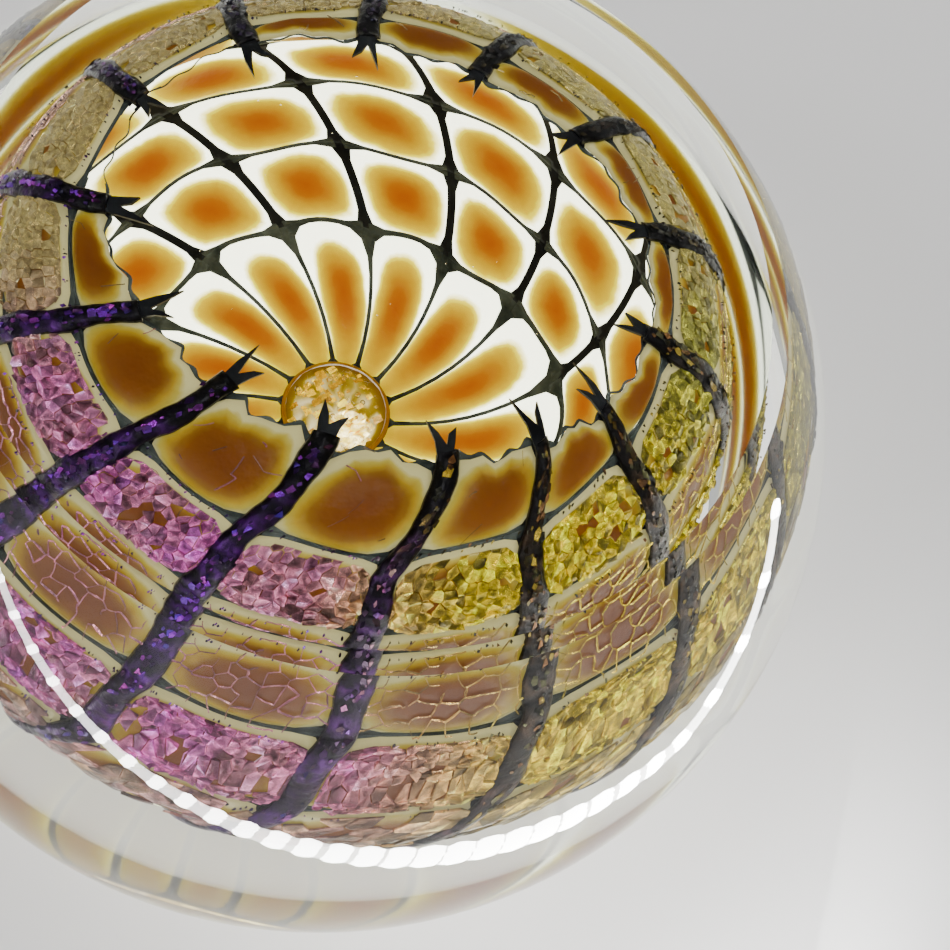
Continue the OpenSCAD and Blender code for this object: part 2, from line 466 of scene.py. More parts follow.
CLEAR = glass("clear_glass", 1.5, (0.985, 0.995, 0.99))
FOOT = glass("ground_foot", 1.5, (0.93, 0.94, 0.93), 0.05)
BOSS = glass("boss_glass", 1.16, (0.95, 0.88, 0.80))
BUBBLE = glass("bubble_air", 0.72, (1.0, 1.0, 1.0))
CELLS = cell_glass()
RIBS = dark_glass("black_glass", (0.001, 0.001, 0.0015), (0.008, 0.009, 0.010), 260)
LINES = dark_glass("dark_lines", (0.008, 0.011, 0.010), (0.045, 0.053, 0.047), 420)
# The fourth number of each foil is its painted emission; the gold foil glows most.
FILM = foil("film_glass", 0.8, 0.18, 0.22, 2200.0)
SHEEN = foil("rib_sheen", 0.8, 0.28, 0.02, 1100.0, (0.03, 0.03, 0.04))
SPARK = foil("rib_sparkle", 0.8, 0.22, 0.10)
GOLD = foil("gold_foil", 1.0, 0.24, 0.5, 700.0)


# ---------------------------------------------------------------- clear body
def clear_body():
    """The whole clear body as one lathed shell: foot, bevel, round side, lip and slightly hollow top."""
    top_r = sqrt(BODY_R ** 2 - (TOP_Z - BODY_Z) ** 2)
    foot_r = sqrt(BODY_R ** 2 - BODY_Z ** 2)
    flat_r = foot_r - FOOT_BEVEL
    rim_r = top_r - LIP
    ball = (rim_r ** 2 + DISH ** 2) / (2 * DISH)
    low_r, high_r = foot_r + FOOT_ROUND, top_r + LIP_ROUND
    low_z = -sqrt(BODY_R ** 2 - low_r ** 2)
    high_z = sqrt(BODY_R ** 2 - high_r ** 2)
    profile = [(flat_r * k / 6, 0.0) for k in range(1, 7)]
    a0, a1 = atan2(low_z, low_r), atan2(high_z, high_r)
    arc = 110
    for k in range(arc + 1):
        a = a0 + (a1 - a0) * k / arc
        profile.append((BODY_R * cos(a), BODY_Z + BODY_R * sin(a)))
    for k in range(24):
        r = rim_r * (24 - k) / 24
        profile.append((r, TOP_Z - DISH + ball - sqrt(ball ** 2 - r ** 2)))
    around = 256
    verts = [(0, 0, 0)]
    for r, z in profile:
        for s in range(around):
            a = 2 * pi * s / around
            verts.append((r * cos(a) * MM, r * sin(a) * MM, z * MM))
    verts.append((0, 0, (TOP_Z - DISH) * MM))
    faces = [(0, 1 + (s + 1) % around, 1 + s) for s in range(around)]
    for j in range(len(profile) - 1):
        a = 1 + j * around
        b = a + around
        faces += [(a + s, a + (s + 1) % around, b + (s + 1) % around, b + s) for s in range(around)]
    last = 1 + (len(profile) - 1) * around
    faces += [(last + s, last + (s + 1) % around, len(verts) - 1) for s in range(around)]
    body = build("clear_body", verts, faces, CLEAR,
                 nodes=("clear_casing", "clear_core"))
    body.data.set_sharp_from_angle(angle=radians(9))
    body.data.materials.append(FOOT)
    for face in body.data.polygons:
        if face.center.z < 0.0001:
            face.material_index = 1


# ---------------------------------------------------------------- cells
def pad(soup, cell, painted_glow_in):
    """A rounded pad of glass. Its inner side has the painted lit colour and glows by painted emission. From
    row 4 up its outer side has the painted shaded colour; every outer side glows less than the inner side.
    """
    spokes, rings = 28, 7
    ring = outline(cell.i, spokes)
    verts, faces, rho, side, glow = [], [], [], [], []
    for face, depth in ((0, -LAYER), (1, -0.02)):
        sign = 1 if face == 0 else -1
        verts.append(cell.spot(0, 0, depth))
        rho.append(0.0)
        for n in range(1, rings + 1):
            f = (n / rings) ** 0.8
            drop = PAD_EDGE_DROP * f ** 5
            verts += [cell.spot(x * f, y * f, depth + sign * drop) for x, y in ring]
            lean = 0.42 if cell.i == 1 else 0.14
            rho += [f ** 1.35 * hypot(x, y) ** 0.8 * (1 + lean * y * f) for x, y in ring]
        count = 1 + rings * spokes
        # Painted light: the side mask picks the painted lit or painted shaded colour, and the last list
        # holds the painted emission, 0.3 on outer faces.
        bare = face == 0 or cell.i < FILM_FROM
        side += [0.0 if bare else 1.0] * count
        glow += [painted_glow_in if face == 0 else 0.3] * count
        base = face * count
        for s in range(spokes):
            n = (s + 1) % spokes
            first = (base, base + 1 + s, base + 1 + n)
            faces.append(first if face else first[::-1])
            for j in range(rings - 1):
                a, b = base + 1 + j * spokes, base + 1 + (j + 1) * spokes
                quad = (a + s, b + s, b + n, a + n)
                faces.append(quad if face else quad[::-1])
    inner = 1 + (rings - 1) * spokes
    outer = 1 + rings * spokes + inner
    for s in range(spokes):
        n = (s + 1) % spokes
        faces.append((inner + s, inner + n, outer + n, outer + s))
    soup.add(verts, faces, rho=rho, side=side, glow=glow)


def cells():
    """All pads, a piece for each row. Returns the cells that were made, for the film that lies on them."""
    made = {}
    for i in range(1, ROWS + 1):
        soup = Soup()
        for k in range(COLUMNS):
            cell = Cell(i, k)
            if cell.tall < 2:
                continue
            made[i, k] = cell
            # Painted emission of the inner sides: full in rows 1 to 4, less in row 5, least from row 6 up.
            pad(soup, cell, 1.0 if i < 5 else 0.8 if i < 6 else 0.5)
        build(f"cells_{i}", soup.verts, soup.faces, CELLS,
              nodes=(f"cells_row_{i}", f"amber_row_{i}"), values=soup.values)
    return made


# ---------------------------------------------------------------- dark net between the cells
def net(name, rows, keep, depth, thick, material_used, nodes):
    """Dark glass left between the cells: soft lines that swell into stars where they cross."""
    across, up = 30, 16
    verts, faces, index = [], [], {}

    def corner(i, k, a, b):
        key = (i, (k * across + a) % (COLUMNS * across), b)
        if key not in index:
            u = k + a / across
            t = at(i, u, b / up)
            index[key] = len(verts)
            verts.append(place(u, t, depth))
            verts.append(place(u, t, depth - thick))
        return index[key]

    kept = []
    for i in rows:
        for k in range(COLUMNS):
            if edge(i, k + 0.5) - edge(i - 1, k + 0.5) < 2 and i == ROWS:
                continue
            for a in range(across):
                for b in range(up):
                    p = abs(2 * (a + 0.5) / across - 1)
                    q = abs(2 * (b + 0.5) / up - 1)
                    power = rim(i, b + 0.5 - up / 2)
                    inside = (p ** power + q ** power) ** (1 / power)
                    if inside > NET_INNER and keep(p, q):
                        square = ((a, b), (a + 1, b), (a + 1, b + 1), (a, b + 1))
                        kept.append([corner(i, k, x, y) for x, y in square])
    borders = {}
    for quad in kept:
        faces.append(tuple(quad))
        faces.append(tuple(v + 1 for v in reversed(quad)))
        for m in range(4):
            e = (quad[m], quad[(m + 1) % 4])
            if (e[1], e[0]) in borders:
                del borders[e[1], e[0]]
            else:
                borders[e] = True
    for e in borders:
        faces.append((e[0], e[0] + 1, e[1] + 1, e[1]))
    build(name, verts, faces, material_used, nodes=nodes)


def nets():
    """The three nets: lines between petals, ribs between columns, threads between rows."""

    def along(p, q):
        return p >= q

    def across(p, q):
        return p < q

    net("petal_lines_net", (1,), along, LINE_DEPTH, 0.1, LINES, ("petal_lines",))
    net("rib_net", range(2, ROWS + 1), along, RIB_DEPTH, 0.13, RIBS, ("spiral_ribs",))
    net("thread_net", range(1, ROWS + 1), across, LINE_DEPTH, 0.1, LINES, ("ring_threads",))


def strand_tint(k, t, high):
    """Colour of rib k at angle t: violet at the left, brown at the right, black at the back and tip. Its
    brightness rises and falls along the rib in painted glints.
    """
    front = turned(azimuth(k, t), FRONT_AZ)
    hue = mix((0.042, 0.002, 0.085), (0.035, 0.02, 0.009), smooth(front, 0, 40))
    hue = mix(hue, (0.012, 0.012, 0.012), smooth(abs(front), 80, 130))
    hue = mix(hue, (0.004, 0.003, 0.006), smooth(t, high - 22, high - 6))
    # Painted glints: brighter bands along the rib.
    painted_sheen = 0.15 + 0.85 * (0.5 + 0.5 * sin(t * 0.7 + k * 4.1)) ** 2
    return tuple(c * painted_sheen for c in hue)


def front_ribs():
    """Rounded strands over the ribs on the outside of the pot, thicker than the net under them."""
    soup = Soup()
    steps, sides = 90, 7
    for k in range(COLUMNS):
        high = edge(ROWS, k) + 0.5
        verts, tints, faces = [], [], []
        for s in range(steps + 1):
            t = STRAND_FROM + (high - STRAND_FROM) * s / steps
            wob = 0.1 * sin(t * 0.3 + k * 1.7) + 0.03 * sin(t * 1.3 + k)
            half = 0.8 + 0.5 * bump(t, 112, 34) + 0.08 * sin(t * 0.41 + k * 2.1) + 0.2 * bump(t, 86, 4)
            half *= 0.35 + 0.65 * smooth(t, STRAND_FROM + 10, STRAND_FROM + 38)
            per = per_column(t)
            for m in range(sides):
                x = cos(pi * m / (sides - 1))
                lift = 0.55 * sin(pi * m / (sides - 1))
                verts.append(place(k + (wob + half * x) * per, t, lift - 0.1))
            tints += [strand_tint(k, t, high)] * sides
        for s in range(steps):
            a, b = s * sides, (s + 1) * sides
            faces += [(a + m, b + m, b + m + 1, a + m + 1) for m in range(sides - 1)]
            faces.append((a + sides - 1, b + sides - 1, b, a))
        faces.append(tuple(range(sides))[::-1])
        faces.append(tuple(steps * sides + m for m in range(sides)))
        soup.add(verts, faces, tint=tints)
    build("rib_strands", soup.verts, soup.faces, SHEEN, tints=soup.tints)


# ---------------------------------------------------------------- film
def calm(az):
    """How smooth the film is: crumpled at the front, nearly flat at the back."""
    return smooth(abs(turned(az, BACK_CALM_AZ)), 65, 105)


def film_colour(rng, az, row):
    """Violet and pink on the left front, gold on the right, green past it, plain olive at the back."""
    violet = (0.14, 0.005, 0.34)
    pink = (0.62, 0.11, 0.40)
    rose = (0.48, 0.19, 0.17)
    beige = (0.40, 0.24, 0.13)
    gold = (0.84, 0.62, 0.0)
    green = (0.30, 0.31, 0.03)
    olive = (0.26, 0.20, 0.07)
    brown = (0.12, 0.045, 0.035)
    front = turned(az, FRONT_AZ)
    along = front + (12 if row == 7 else 0)
    hue = mix(pink, rose, smooth(along, 0, 28))
    hue = mix(hue, gold, smooth(along, 12, 45))
    hue = mix(hue, green, smooth(along, 60, 110))
    hue = mix(hue, olive, smooth(-front, 45, 80))
    hue = mix(hue, violet, 0.55 * rng.random() ** 2 * bump(front, -35, 45))
    right = smooth(along, 5, 40)
    hue = mix(hue, beige, (0.22 + 0.22 * sin(az * 0.31 + row)) * (1 - right))
    hue = mix(hue, mix(brown, (0.06, 0.065, 0.02), right), rng.random() ** 2 * 0.8)
    hue = mix(hue, (0.43, 0.35, 0.11), 0.75 * calm(az))
    # Random brightness per plate: partly the film's own uneven tone, partly painted light and shade on its
    # facets; it evens out at the back.
    shade = rng.choice((0.4, 0.5, 0.6, 0.75, 0.95, 1.3))
    shade += (0.85 - shade) * 0.8 * calm(az)
    if row in (6, 8):
        shade *= 0.8
    if row == 4:
        hue = mix(hue, olive, 0.6)
    return tuple(min(1, c * shade) for c in hue)


def clipped(poly, nx, ny, c):
    """The part of a polygon where nx x + ny y is below c."""
    out = []
    for n, a in enumerate(poly):
        b = poly[(n + 1) % len(poly)]
        da, db = nx * a[0] + ny * a[1] - c, nx * b[0] + ny * b[1] - c
        if da <= 0:
            out.append(a)
        if (da < 0 < db) or (db < 0 < da):
            f = da / (da - db)
            out.append((a[0] + (b[0] - a[0]) * f, a[1] + (b[1] - a[1]) * f))
    return out


def plates(rng, cell, size, reach):
    """Splits a cell outline into irregular plates, in millimetres from its centre."""
    w, h = cell.wide / 2 * 0.93, cell.tall / 2 * 0.96
    bound = [(x * w * reach, y * h * reach) for x, y in outline(cell.i, 24)]
    nx, ny = max(2, round(2 * w / size)), max(2, round(2 * h / size))
    sites = []
    for a in range(nx):
        for b in range(ny):
            x = 2 * (a + 0.1 + 0.8 * rng.random()) / nx - 1
            y = 2 * (b + 0.1 + 0.8 * rng.random()) / ny - 1
            sites.append((x * w, y * h))
    for s in sites:
        poly = bound
        for o in sites:
            dx, dy = o[0] - s[0], o[1] - s[1]
            if o is s or dx * dx + dy * dy > (3.2 * size) ** 2:
                continue
            poly = clipped(poly, dx, dy, (dx * (s[0] + o[0]) + dy * (s[1] + o[1])) / 2)
            if len(poly) < 3:
                break
        if len(poly) >= 3:
            yield poly, (w, h)


def plate(rng, soup, cell, poly, w, h, tilt, tint):
    """A thin crumpled flake: raised middle, uneven rim, its own tilt."""
    cx = sum(p[0] for p in poly) / len(poly)
    cy = sum(p[1] for p in poly) / len(poly)
    tilt_x, tilt_y = rng.gauss(0, tilt), rng.gauss(0, tilt)
    reach = max(hypot(x - cx, y - cy) for x, y in poly)
    shrink = 1 - 0.05 / max(0.3, reach)
    top, low = [], []
    for x, y in poly:
        x, y = cx + (x - cx) * shrink, cy + (y - cy) * shrink
        d = 0.13 + (x - cx) * tilt_x + (y - cy) * tilt_y + rng.uniform(-0.05, 0.06)
        top.append(cell.spot(x / w, y / h, max(0.02, d)))
        low.append(cell.spot(x / w, y / h, -0.04))
    n = len(top)
    middle = cell.spot(cx / w, cy / h, 0.2 + rng.uniform(-0.14, 0.16))
    faces = [(m, (m + 1) % n, n) for m in range(n)]
    faces += [((m + 1) % n, m, n + 1 + m, n + 1 + (m + 1) % n) for m in range(n)]
    faces.append(tuple(n + 1 + m for m in reversed(range(n))))
    # Painted light and shade on each flake: rim points made brighter or darker at random, the middle
    # darker; both even out at the back, where the film is calm.
    lively = 1 - 0.85 * calm(cell.az)
    painted_rim_light = [scaled(tint, 1 + (rng.choice((0.5, 0.8, 1.2, 1.8, 2.8)) - 1) * lively) for _ in top]
    hollow = scaled(tint, 1 + (rng.uniform(0.25, 0.8) - 1) * lively)
    soup.add(top + [middle] + low, faces, tint=painted_rim_light + [hollow] + painted_rim_light)


def cracks(rng, soup, cell, poly, w, h, share, tint):
    """Thin raised lines along the edges of a plate."""
    for n, a in enumerate(poly):
        b = poly[(n + 1) % len(poly)]
        long = hypot(b[0] - a[0], b[1] - a[1])
        if long < 0.15 or rng.random() > share or hypot(a[0] / w, a[1] / h) > 1.05:
            continue
        half = rng.uniform(0.02, 0.06)
        sx, sy = -(b[1] - a[1]) / long * half, (b[0] - a[0]) / long * half
        mx = (a[0] + b[0]) / 2 + sx * rng.uniform(-3, 3)
        my = (a[1] + b[1]) / 2 + sy * rng.uniform(-3, 3)
        line = []
        for x, y in (a, (mx, my), b):
            for side in (-1, 1):
                line.append(cell.spot((x + sx * side) / w, (y + sy * side) / h, 0.02))
            line.append(cell.spot(x / w, y / h, 0.14))
        faces = [(0, 2, 5, 3), (2, 1, 4, 5), (3, 5, 8, 6), (5, 4, 7, 8), (0, 3, 4, 1), (3, 6, 7, 4)]
        faces += [(0, 1, 2), (6, 8, 7)]
        shade = rng.uniform(0.6, 1.7)
        soup.add(line, faces, tint=tuple(min(1, c * shade) for c in tint))


def film_row(rng, i, made):
    """Iridescent film: crumpled plates on rows 5 and 7, flat ones on row 4, fine lines on rows 6 and 8."""
    soup = Soup()
    size = {4: 1.5, 5: 0.85, 6: 1.4, 7: 0.85, 8: 1.8}[i]
    for k in range(COLUMNS):
        cell = made.get((i, k))
        if not cell:
            continue
        for poly, (w, h) in plates(rng, cell, size, 0.9 if i in CRUMPLED_ROWS else 0.99):
            cx = sum(p[0] for p in poly) / len(poly)
            tint = film_colour(rng, cell.az + cx / cell.wide * STEP, i)
            if i in CRUMPLED_ROWS and rng.random() < 0.93:
                plate(rng, soup, cell, poly, w, h, 0.3 - 0.24 * calm(cell.az), tint)
                if rng.random() < 0.5:
                    bright = mix(scaled(tint, 2.4), (1.0, 0.8, 0.7), 0.2)
                    cracks(rng, soup, cell, poly, w, h, 0.45, bright)
            elif i == 4 and rng.random() < 0.75:
                plate(rng, soup, cell, poly, w, h, 0.08, tint)
            else:
                line = mix((0.9, 0.5, 0.5), (0.9, 0.72, 0.15), smooth(turned(cell.az, FRONT_AZ), 5, 35))
                pale = mix(tint, line if i == LINED_ROW else (0.4, 0.3, 0.2), 0.4)
                cracks(rng, soup, cell, poly, w, h, 0.6 if i == LINED_ROW else 0.07, pale)
    build(f"film_{i}", soup.verts, soup.faces, FILM, smooth_faces=False,
          nodes=(f"film_row_{i}",), tints=soup.tints)


def sparkles(rng):
    """Violet, gold and dark shards caught on the outside of the ribs and threads."""
    soup = Soup()

    def shard(u, t, size):
        az = azimuth(u, t)
        front = turned(az, FRONT_AZ)
        hue = mix((0.16, 0.003, 0.42), (0.04, 0.01, 0.40), rng.random() ** 2)
        hue = mix(hue, (0.42, 0.03, 0.40), rng.random() ** 2)
        warm = rng.choice(((0.22, 0.10, 0.03), (0.45, 0.32, 0.03), (0.10, 0.10, 0.04)))
        hue = mix(hue, warm, smooth(front, 0, 30))
        hue = mix(hue, (0.02, 0.02, 0.02), smooth(abs(front), 80, 130) * 0.9)
        # Painted glints: most shards are left dark and a few are painted bright.
        painted_sheen = 0.06 + 1.1 * rng.random() ** 3
        hue = tuple(c * painted_sheen for c in hue)
        sides = rng.choice((3, 4, 4, 5))
        start = rng.random() * 2 * pi
        per = per_column(t)
        per_t = per_degree(t, 0.15)
        verts = []
        tx, ty = rng.gauss(0, 0.2), rng.gauss(0, 0.2)
        for m in range(sides):
            a = start + 2 * pi * m / sides
            r = size * rng.uniform(0.6, 1.1)
            x, y = r * cos(a), r * sin(a) * 1.5
            verts.append(place(u + x * per, t + y * per_t, SHARD_LIFT + x * tx + y * ty))
        verts.append(place(u, t, SHARD_LIFT - 0.25))
        faces = [tuple(range(sides))]
        faces += [((m + 1) % sides, m, sides) for m in range(sides)]
        soup.add(verts, faces, tint=hue)

    for k in range(COLUMNS):
        high = edge(ROWS, k)
        for n in range(110):
            t = rng.uniform(74, high - 1)
            shard(k + rng.gauss(0, 0.36) * per_column(t), t, rng.uniform(0.12, 0.36))
        for i in range(4, ROWS):
            for n in range(16):
                u = k + rng.random()
                t = edge(i, u) + rng.gauss(0, 0.4)
                shard(u, t, rng.uniform(0.07, 0.16))
    build("rib_shards", soup.verts, soup.faces, SPARK, smooth_faces=False,
          tints=soup.tints)


def torn_tips(rng):
    """Forked ends of the ribs, left where the mouth tore open."""
    soup = Soup()
    fork = ((-0.75, -1.6), (-1.0, -0.4), (-1.5, 1.6), (-2.3, 3.2), (-0.9, 2.5), (-0.1, 1.5),
            (0.7, 2.9), (1.9, 4.6), (1.5, 2.2), (1.0, -0.2), (0.75, -1.6))
    for k in range(COLUMNS):
        t0 = edge(ROWS, k)
        per = per_column(t0)
        per_t = per_degree(t0, 0.12)
        flip = rng.choice((-1, 1))
        grow = rng.uniform(0.55, 0.85)
        ring = []
        for x, y in fork:
            x = x * flip * grow * 0.8 + rng.uniform(-0.12, 0.12)
            y = y * grow + rng.uniform(-0.12, 0.12)
            ring.append((k + x * per, min(178, t0 + y * per_t), 0.12 + 0.05 * y))
        if flip < 0:
            ring.reverse()
        top = [place(u, t, d + 0.12) for u, t, d in ring]
        low = [place(u, t, d - 0.28) for u, t, d in ring]
        n = len(ring)
        faces = [tuple(range(n)), tuple(range(2 * n - 1, n - 1, -1))]
        faces += [((m + 1) % n, m, n + m, n + (m + 1) % n) for m in range(n)]
        soup.add(top + low, faces)
    build("torn_rib_tips", soup.verts, soup.faces, RIBS, smooth_faces=False,
          nodes=("torn_tips",))


# ---------------------------------------------------------------- boss, foil and bubbles
def boss_dome(base, bottom):
    """Skin of the boss: a shallow bowl below, a rippled dome above."""
    profile = []
    for k in range(1, 9):
        a = pi / 2 * k / 8
        profile.append((BOSS_R * sin(a), bottom + (base - bottom) * (1 - cos(a))))
    profile += [(BOSS_R, base + 0.5), (BOSS_R - 0.05, base + BOSS_SEAT)]
    for k in range(14):
        a = pi / 2 * (k + 1) / 15
        profile.append((BOSS_R * cos(a) ** 0.9, base + BOSS_SEAT + BOSS_DOME * sin(a)))
    around = 64
    verts = [(0, 0, bottom * MM)]
    for n, (r, z) in enumerate(profile):
        for s in range(around):
            a = 2 * pi * s / around
            ripple = 1 + 0.012 * sin(3 * a + n * 0.3) + 0.006 * sin(11 * a + n * 0.8)
            verts.append((r * ripple * cos(a) * MM, r * ripple * sin(a) * MM, z * MM))
    verts.append((0, 0, (base + BOSS_SEAT + BOSS_DOME) * MM))
    faces = [(0, 1 + (s + 1) % around, 1 + s) for s in range(around)]
    for j in range(len(profile) - 1):
        a, b = 1 + j * around, 1 + (j + 1) * around
        faces += [(a + s, a + (s + 1) % around, b + (s + 1) % around, b + s) for s in range(around)]
    last = 1 + (len(profile) - 1) * around
    faces += [(last + s, last + (s + 1) % around, len(verts) - 1) for s in range(around)]
    build("boss_dome", verts, faces, BOSS, nodes=("centre_boss",))


def boss_floor(rng, base, bottom):
    """Mottled glass under the foil, and the amber ring round the boss, both in the painted lit cell colour
    and faintly bright by painted emission.
    """
    soup = Soup()
    rings, spokes = 6, 32
    verts, rho = [Vector((0, 0, (bottom + 0.5) * MM))], [0.96]
    for n in range(1, rings + 1):
        f = n / rings
        for s in range(spokes):
            a = 2 * pi * s / spokes
            r = (BOSS_R - 0.5) * f
            z = bottom + 0.5 + (base - bottom) * f * f + 0.15 * rng.random()
            verts.append(Vector((r * cos(a) * MM, r * sin(a) * MM, z * MM)))
            rho.append(rng.uniform(0.72, 1.0) if f < 0.85 else 0.42)
    faces = [(0, 1 + s, 1 + (s + 1) % spokes) for s in range(spokes)]
    for j in range(rings - 1):
        a, b = 1 + j * spokes, 1 + (j + 1) * spokes
        faces += [(a + s, b + s, b + (s + 1) % spokes, a + (s + 1) % spokes) for s in range(spokes)]
    # Painted lit colour and faint painted emission; the ring below has more.
    soup.add(verts, faces, rho=rho, side=[0.0] * len(verts), glow=[0.04] * len(verts))

    around, tube = 64, 8
    verts, faces = [], []
    for s in range(around):
        a = 2 * pi * s / around
        n = (s + 1) % around
        for m in range(tube):
            b = 2 * pi * m / tube
            r = BOSS_R - 0.1 + RING_TUBE * cos(b)
            verts.append(Vector((r * cos(a), r * sin(a), base + BOSS_SEAT + RING_TUBE * sin(b))) * MM)
            next_m = (m + 1) % tube
            faces.append((s * tube + m, n * tube + m, n * tube + next_m, s * tube + next_m))
    rho = [0.25 + 0.2 * rng.random() for _ in verts]
    soup.add(verts, faces, rho=rho, side=[0.0] * len(verts), glow=[0.22] * len(verts))
    build("boss_floor", soup.verts, soup.faces, CELLS, values=soup.values)


def foil_flake(rng, soup, centre, size, painted_glint):
    """One small crumpled flake, facing roughly up. A strong painted glint makes it paler and brighter, as a
    highlight.
    """
    axis = Vector((rng.gauss(0, 0.45), rng.gauss(0, 0.45), 1)).normalized()
    side_way = axis.orthogonal().normalized()
    other = axis.cross(side_way)
    grid, faces = [], []
    for x in range(4):
        for y in range(4):
            p = side_way * (x / 3 - 0.5) * 2 * size + other * (y / 3 - 0.5) * 1.5 * size
            p += axis * rng.gauss(0, 0.16) * size + side_way * rng.uniform(-0.14, 0.14) * size
            grid.append((centre + p) * MM)
    for x in range(3):
        for y in range(3):
            m = x * 4 + y
            faces += [(m, m + 4, m + 5), (m, m + 5, m + 1)]
    hue = mix((0.40, 0.22, 0.0), (1.3, 1.05, 0.05), rng.random())
    # Painted highlight: the colour is pushed at random towards a glowing white-gold.
    soup.add(grid, faces, tint=mix(hue, (6.0, 5.8, 3.4), painted_glint * rng.random()))


def foil_sheet(rng, soup, base):
    """The crumpled sheet of foil at the right of the boss, made bright by painted highlights."""
    count = 13
    grid, tints, faces = [], [], []
    for x in range(count):
        for y in range(count):
            px, py = 2 * x / (count - 1) - 1, 2 * y / (count - 1) - 1
            squash = 1.9 / max(1, hypot(px, py) / max(abs(px), abs(py), 0.01))
            px = px * squash + rng.uniform(-0.11, 0.11)
            py = py * squash + rng.uniform(-0.11, 0.11)
            grid.append(Vector((1.7 + px, -1.6 + py, base + 1.5 + rng.uniform(-0.35, 0.35))) * MM)
            # Painted highlights: points of the sheet get a glowing white-gold colour at random.
            tints.append(mix((0.9, 0.55, 0.0), (7.0, 6.6, 3.2), rng.random() ** 1.6))
    for x in range(count - 1):
        for y in range(count - 1):
            m = x * count + y
            faces += [(m, m + count, m + count + 1), (m, m + count + 1, m + 1)]
    soup.add(grid, faces, tint=tints)


def foil_flakes(rng, base):
    """Gold foil: loose flakes at the upper left and right, and one sheet made bright by painted highlights.
    """
    soup = Soup()
    count = 110
    golden_turn = 2.39996
    for n in range(count):
        out = (BOSS_R - 0.9) * sqrt((n + 0.5) / count)
        a = n * golden_turn + rng.uniform(-0.3, 0.3)
        z = base + 0.5 + 2.6 * (1 - (out / BOSS_R) ** 2) * rng.uniform(0.2, 1.0)
        centre = Vector((out * cos(a), out * sin(a), z))
        size = rng.uniform(0.14, 0.5)
        # Closeness to the painted highlight by the sheet: more flakes lie there, and they get a painted
        # glint.
        painted_glint = bump(hypot(centre.x - 1.6, centre.y + 1.8), 0, 1.9)
        warm = bump(hypot(centre.x + 2.0, centre.y - 1.8), 0, 2.2)
        if rng.random() <= 0.25 + painted_glint + warm:
            foil_flake(rng, soup, centre, size, painted_glint)
    foil_sheet(rng, soup, base)
    build("foil_flakes", soup.verts, soup.faces, GOLD, smooth_faces=False,
          nodes=("gold_flakes",), tints=soup.tints)


def boss(rng):
    base = wall(RING_ANGLES[0])[1]
    bottom = wall(0)[1]
    boss_dome(base, bottom)
    boss_floor(rng, base, bottom)
    foil_flakes(rng, base)


def bead(soup, centre, r, around=12, rings=7):
    """A small ball added to a soup."""
    verts = [centre + Vector((0, 0, -r))]
    for j in range(1, rings):
        b = -pi / 2 + pi * j / rings
        for s in range(around):
            a = 2 * pi * s / around
            verts.append(centre + Vector((r * cos(b) * cos(a), r * cos(b) * sin(a), r * sin(b))))
    verts.append(centre + Vector((0, 0, r)))
    faces = [(0, 1 + (s + 1) % around, 1 + s) for s in range(around)]
    for j in range(rings - 2):
        a, b = 1 + j * around, 1 + (j + 1) * around
        faces += [(a + s, a + (s + 1) % around, b + (s + 1) % around, b + s) for s in range(around)]
    a = 1 + (rings - 2) * around
    faces += [(a + s, a + (s + 1) % around, len(verts) - 1) for s in range(around)]
    soup.add(verts, faces)


def bubbles(rng):
    """Seed bubbles in the boss, and a few finer ones in the clear core."""
    soup = Soup()
    base = wall(RING_ANGLES[0])[1]
    for n in range(26):
        out = (BOSS_R - 0.8) * sqrt(rng.random())
        a = rng.random() * 2 * pi
        z = base + 0.6 + 2.4 * (1 - (out / BOSS_R) ** 2) * rng.random()
        bead(soup, Vector((out * cos(a), out * sin(a), z)) * MM, rng.uniform(0.08, 0.3) * MM)
    for n in range(40):
        u, t = rng.random() * COLUMNS, rng.uniform(20, 80)
        bead(soup, place(u, t, -LAYER - rng.uniform(0.5, 4)), rng.uniform(0.04, 0.11) * MM, 8, 5)
    build("seed_bubbles", soup.verts, soup.faces, BUBBLE)


# ---------------------------------------------------------------- stage, light and camera
def plain(name, colour):
    mat, tree, out = material(name)
    fine = noise(tree, 3, 2)
    shade = ramp(tree, fine.outputs["Fac"], ((0.3, tuple(c * 0.98 for c in colour)), (0.7, colour)))
    shader = node(tree, "ShaderNodeBsdfPrincipled", Base_Color=shade, Roughness=0.7)
    tree.links.new(shader.outputs[0], out.inputs["Surface"])
    return mat


def emitter(name, colour, strength):
    mat, tree, out = material(name)
    light = node(tree, "ShaderNodeEmission", Color=(*colour, 1), Strength=strength)
    tree.links.new(light.outputs[0], out.inputs["Surface"])
    return mat


def staged(name, verts, faces, mat):
    mesh = bpy.data.meshes.new(name)
    mesh.from_pydata([tuple(v) for v in verts], [], faces)
    mesh.materials.append(mat)
    obj = bpy.data.objects.new(name, mesh)
    bpy.context.scene.collection.objects.link(obj)
    return obj


def lamp_path():
    """Centres of the lamps, worked out so that their mirror images lie on a chosen arc of the side."""
    eye = Vector((0, -cos(ELEVATION), sin(ELEVATION))) * DISTANCE
    path = []
    for n in range(LAMP_COUNT):
        turn_to = LAMP_FIRST + LAMP_SWEEP * n / (LAMP_COUNT - 1)
        dip = -44 + 38 * max(0, (-20 - turn_to) / 121) ** 1.9 + 19 * max(0, (turn_to + 5) / 22) ** 1.5
        a, b = radians(turn_to), radians(dip)
        away = Vector((cos(b) * cos(a), cos(b) * sin(a), sin(b)))
        spot = Vector((0, 0, 0))
        for _ in range(4):
            spot = ((eye - spot).normalized() + away).normalized() * BODY_R * MM
        path.append(spot + away * LAMP_GAP + Vector((0, 0, BODY_Z * MM)))
    return path


